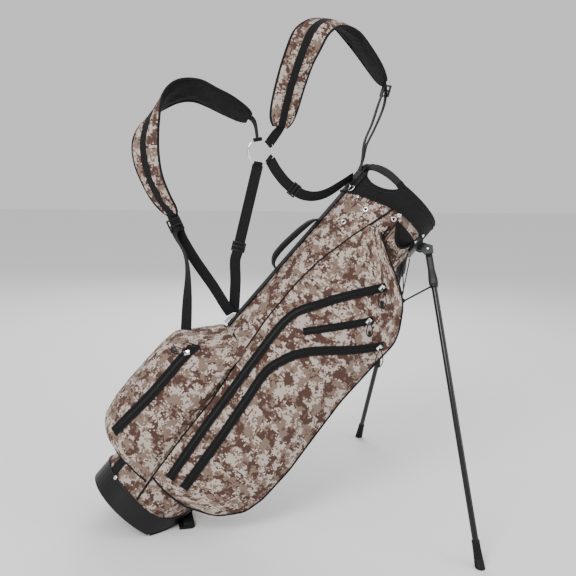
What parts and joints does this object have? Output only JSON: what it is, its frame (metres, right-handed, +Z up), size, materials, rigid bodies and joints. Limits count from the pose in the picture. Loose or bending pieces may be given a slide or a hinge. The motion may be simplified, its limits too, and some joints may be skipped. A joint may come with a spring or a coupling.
{
  "type": "golf stand bag",
  "caption": "Lightweight stand bag for golf clubs: divided tube with zipped pockets, hinged heel plate that kicks out folding legs, lift handles and a padded double harness.",
  "frame": {"origin": "on the ground under the heel plate, on the bag's middle plane", "axes": "+Z up from the ground, +X from the heel towards the feet, in the direction the bag leans, +Y towards the far leg; the side with three zips faces -Y"},
  "size_m": [0.7155, 0.6818, 1.0285],
  "materials": {
    "camo_fabric": "printed woven polyester",
    "black_fabric": "padded woven polyester",
    "black_webbing": "ribbed webbing",
    "zip_tape": "zip tape",
    "grip_fabric": "ribbed fabric",
    "divider_foam": "fabric-covered foam",
    "black_plastic": "moulded satin",
    "dark_plastic": "moulded satin",
    "black_rubber": "matt",
    "elastic_cord": "braided",
    "graphite_tube": "gloss",
    "black_steel": "satin",
    "plain_steel": "brushed",
    "chrome": "polished"
  },
  "bodies": {
    "bag": {"ball_pocket": "camo_fabric", "base_boot": "black_plastic", "base_pad": "divider_foam", "body_tube": "camo_fabric", "bottle_sleeve": "camo_fabric", "buckle_left": "black_plastic", "buckle_right": "black_plastic", "centre_ring": "chrome", "divider_frame": "divider_foam", "divider_sheets": "divider_foam", "heel_hinge_pin": "plain_steel", "hinge_housing": "dark_plastic", "lift_handle": "grip_fabric", "pad_tab_left": "black_webbing", "pad_tab_right": "black_webbing", "return_cord_far": "elastic_cord", "return_cord_near": "elastic_cord", "rod_guide": "dark_plastic", "shoulder_pad_left": "camo_fabric", "shoulder_pad_right": "camo_fabric", "side_pocket_far": "camo_fabric", "side_pocket_near": "camo_fabric", "snap_clip": "chrome", "spine_handle": "grip_fabric", "spine_strip": "black_webbing", "stay_far": "plain_steel", "stay_near": "plain_steel", "top_collar": "black_fabric", "web_collar": "black_webbing", "web_left": "black_webbing", "web_left_tail": "black_webbing", "web_right_a": "black_webbing", "web_right_b": "black_webbing", "web_spine": "black_webbing", "zip_ball": "zip_tape", "zip_lower": "zip_tape", "zip_short": "zip_tape", "zip_upper": "zip_tape"},
    "near_leg": {"near_leg_socket": "dark_plastic", "near_leg_tube": "graphite_tube", "near_leg_foot": "black_rubber", "hinge_pin_near": "plain_steel"},
    "far_leg": {"far_leg_socket": "dark_plastic", "far_leg_tube": "graphite_tube", "far_leg_foot": "black_rubber", "hinge_pin_far": "plain_steel"},
    "heel": {"heel_plate": "black_rubber"},
    "push_rods": {"actuator_rods": "black_steel", "rod_yoke": "black_plastic"},
    "near_link": {"link_wire_near": "black_steel"},
    "far_link": {"link_wire_far": "black_steel"},
    "ladder": {"ladder_slider": "black_plastic"},
    "zip_slider_upper": {"slider_upper": "chrome"},
    "zip_pull_upper": {"pull_upper": "elastic_cord"},
    "zip_slider_lower": {"slider_lower": "chrome"},
    "zip_pull_lower": {"pull_lower": "elastic_cord"},
    "zip_slider_short": {"slider_short": "chrome"},
    "zip_pull_short": {"pull_short": "elastic_cord"},
    "zip_slider_ball": {"slider_ball": "chrome"},
    "zip_pull_ball": {"pull_ball": "elastic_cord"}
  },
  "joints": [
    {"name": "near_leg_fold", "type": "hinge", "parent": "bag", "child": "near_leg", "pos_m": [0.54522, -0.054, 0.56437], "axis": [0.4461, 0.8059, -0.3892], "range_deg": [0, 47.97]},
    {"name": "far_leg_fold", "type": "hinge", "parent": "bag", "child": "far_leg", "pos_m": [0.54522, 0.054, 0.56437], "axis": [-0.4461, 0.8059, 0.3892], "range_deg": [0, 47.97]},
    {"name": "heel_plate_swing", "type": "hinge", "parent": "bag", "child": "heel", "pos_m": [-0.0388, 0, 0.0032], "axis": [0, 1, 0], "range_deg": [0, 27]},
    {"name": "rod_slide", "type": "slide", "parent": "bag", "child": "push_rods", "axis": [-0.6574, 0, -0.7536], "range_m": [0, 0.0342]},
    {"name": "near_link_swing", "type": "hinge", "parent": "push_rods", "child": "near_link", "pos_m": [0.51059, -0.0195, 0.44861], "axis": [-0.8274, -0.5367, -0.1653], "range_deg": [0, 38.02]},
    {"name": "far_link_swing", "type": "hinge", "parent": "push_rods", "child": "far_link", "pos_m": [0.51059, 0.0195, 0.44861], "axis": [0.8274, -0.5367, 0.1653], "range_deg": [0, 38.02]},
    {"name": "zip_slide_upper", "type": "slide", "parent": "bag", "child": "zip_slider_upper", "axis": [-0.9698, 0.0607, -0.2361], "range_m": [0, 0.045]},
    {"name": "pull_swing_upper", "type": "hinge", "parent": "zip_slider_upper", "child": "zip_pull_upper", "pos_m": [0.41173, -0.13847, 0.49841], "axis": [-0.0805, -0.9939, 0.0748], "range_deg": [-45, 45]},
    {"name": "zip_slide_lower", "type": "slide", "parent": "bag", "child": "zip_slider_lower", "axis": [-0.9898, -0.1073, -0.0942], "range_m": [0, 0.045]},
    {"name": "pull_swing_lower", "type": "hinge", "parent": "zip_slider_lower", "child": "zip_pull_lower", "pos_m": [0.41217, -0.14027, 0.37697], "axis": [0.1187, -0.985, -0.1253], "range_deg": [-45, 45]},
    {"name": "zip_slide_short", "type": "slide", "parent": "bag", "child": "zip_slider_short", "axis": [-0.9858, -0.0187, -0.167], "range_m": [0, 0.06]},
    {"name": "pull_swing_short", "type": "hinge", "parent": "zip_slider_short", "child": "zip_pull_short", "pos_m": [0.38593, -0.14311, 0.43316], "axis": [0.0008, -0.9942, 0.1071], "range_deg": [-45, 45]},
    {"name": "zip_slide_ball", "type": "slide", "parent": "bag", "child": "zip_slider_ball", "axis": [-0.7248, -0.0482, -0.6873], "range_m": [0, 0.03]},
    {"name": "pull_swing_ball", "type": "hinge", "parent": "zip_slider_ball", "child": "zip_pull_ball", "pos_m": [0.0336, -0.08261, 0.37039], "axis": [-0.4145, -0.8351, 0.3616], "range_deg": [-45, 45]},
    {"name": "ladder_slide", "type": "slide", "parent": "bag", "child": "ladder", "axis": [0.2274, 0.0275, 0.9734], "range_m": [0, 0.06]}
  ],
  "couplings": [
    {"joint": "far_leg_fold", "follows": "near_leg_fold", "ratio": 1},
    {"joint": "heel_plate_swing", "follows": "near_leg_fold", "ratio": 0.56261},
    {"joint": "rod_slide", "follows": "near_leg_fold", "m_per_rad": 0.040831},
    {"joint": "near_link_swing", "follows": "near_leg_fold", "ratio": 0.79216},
    {"joint": "far_link_swing", "follows": "near_leg_fold", "ratio": 0.79216}
  ]
}
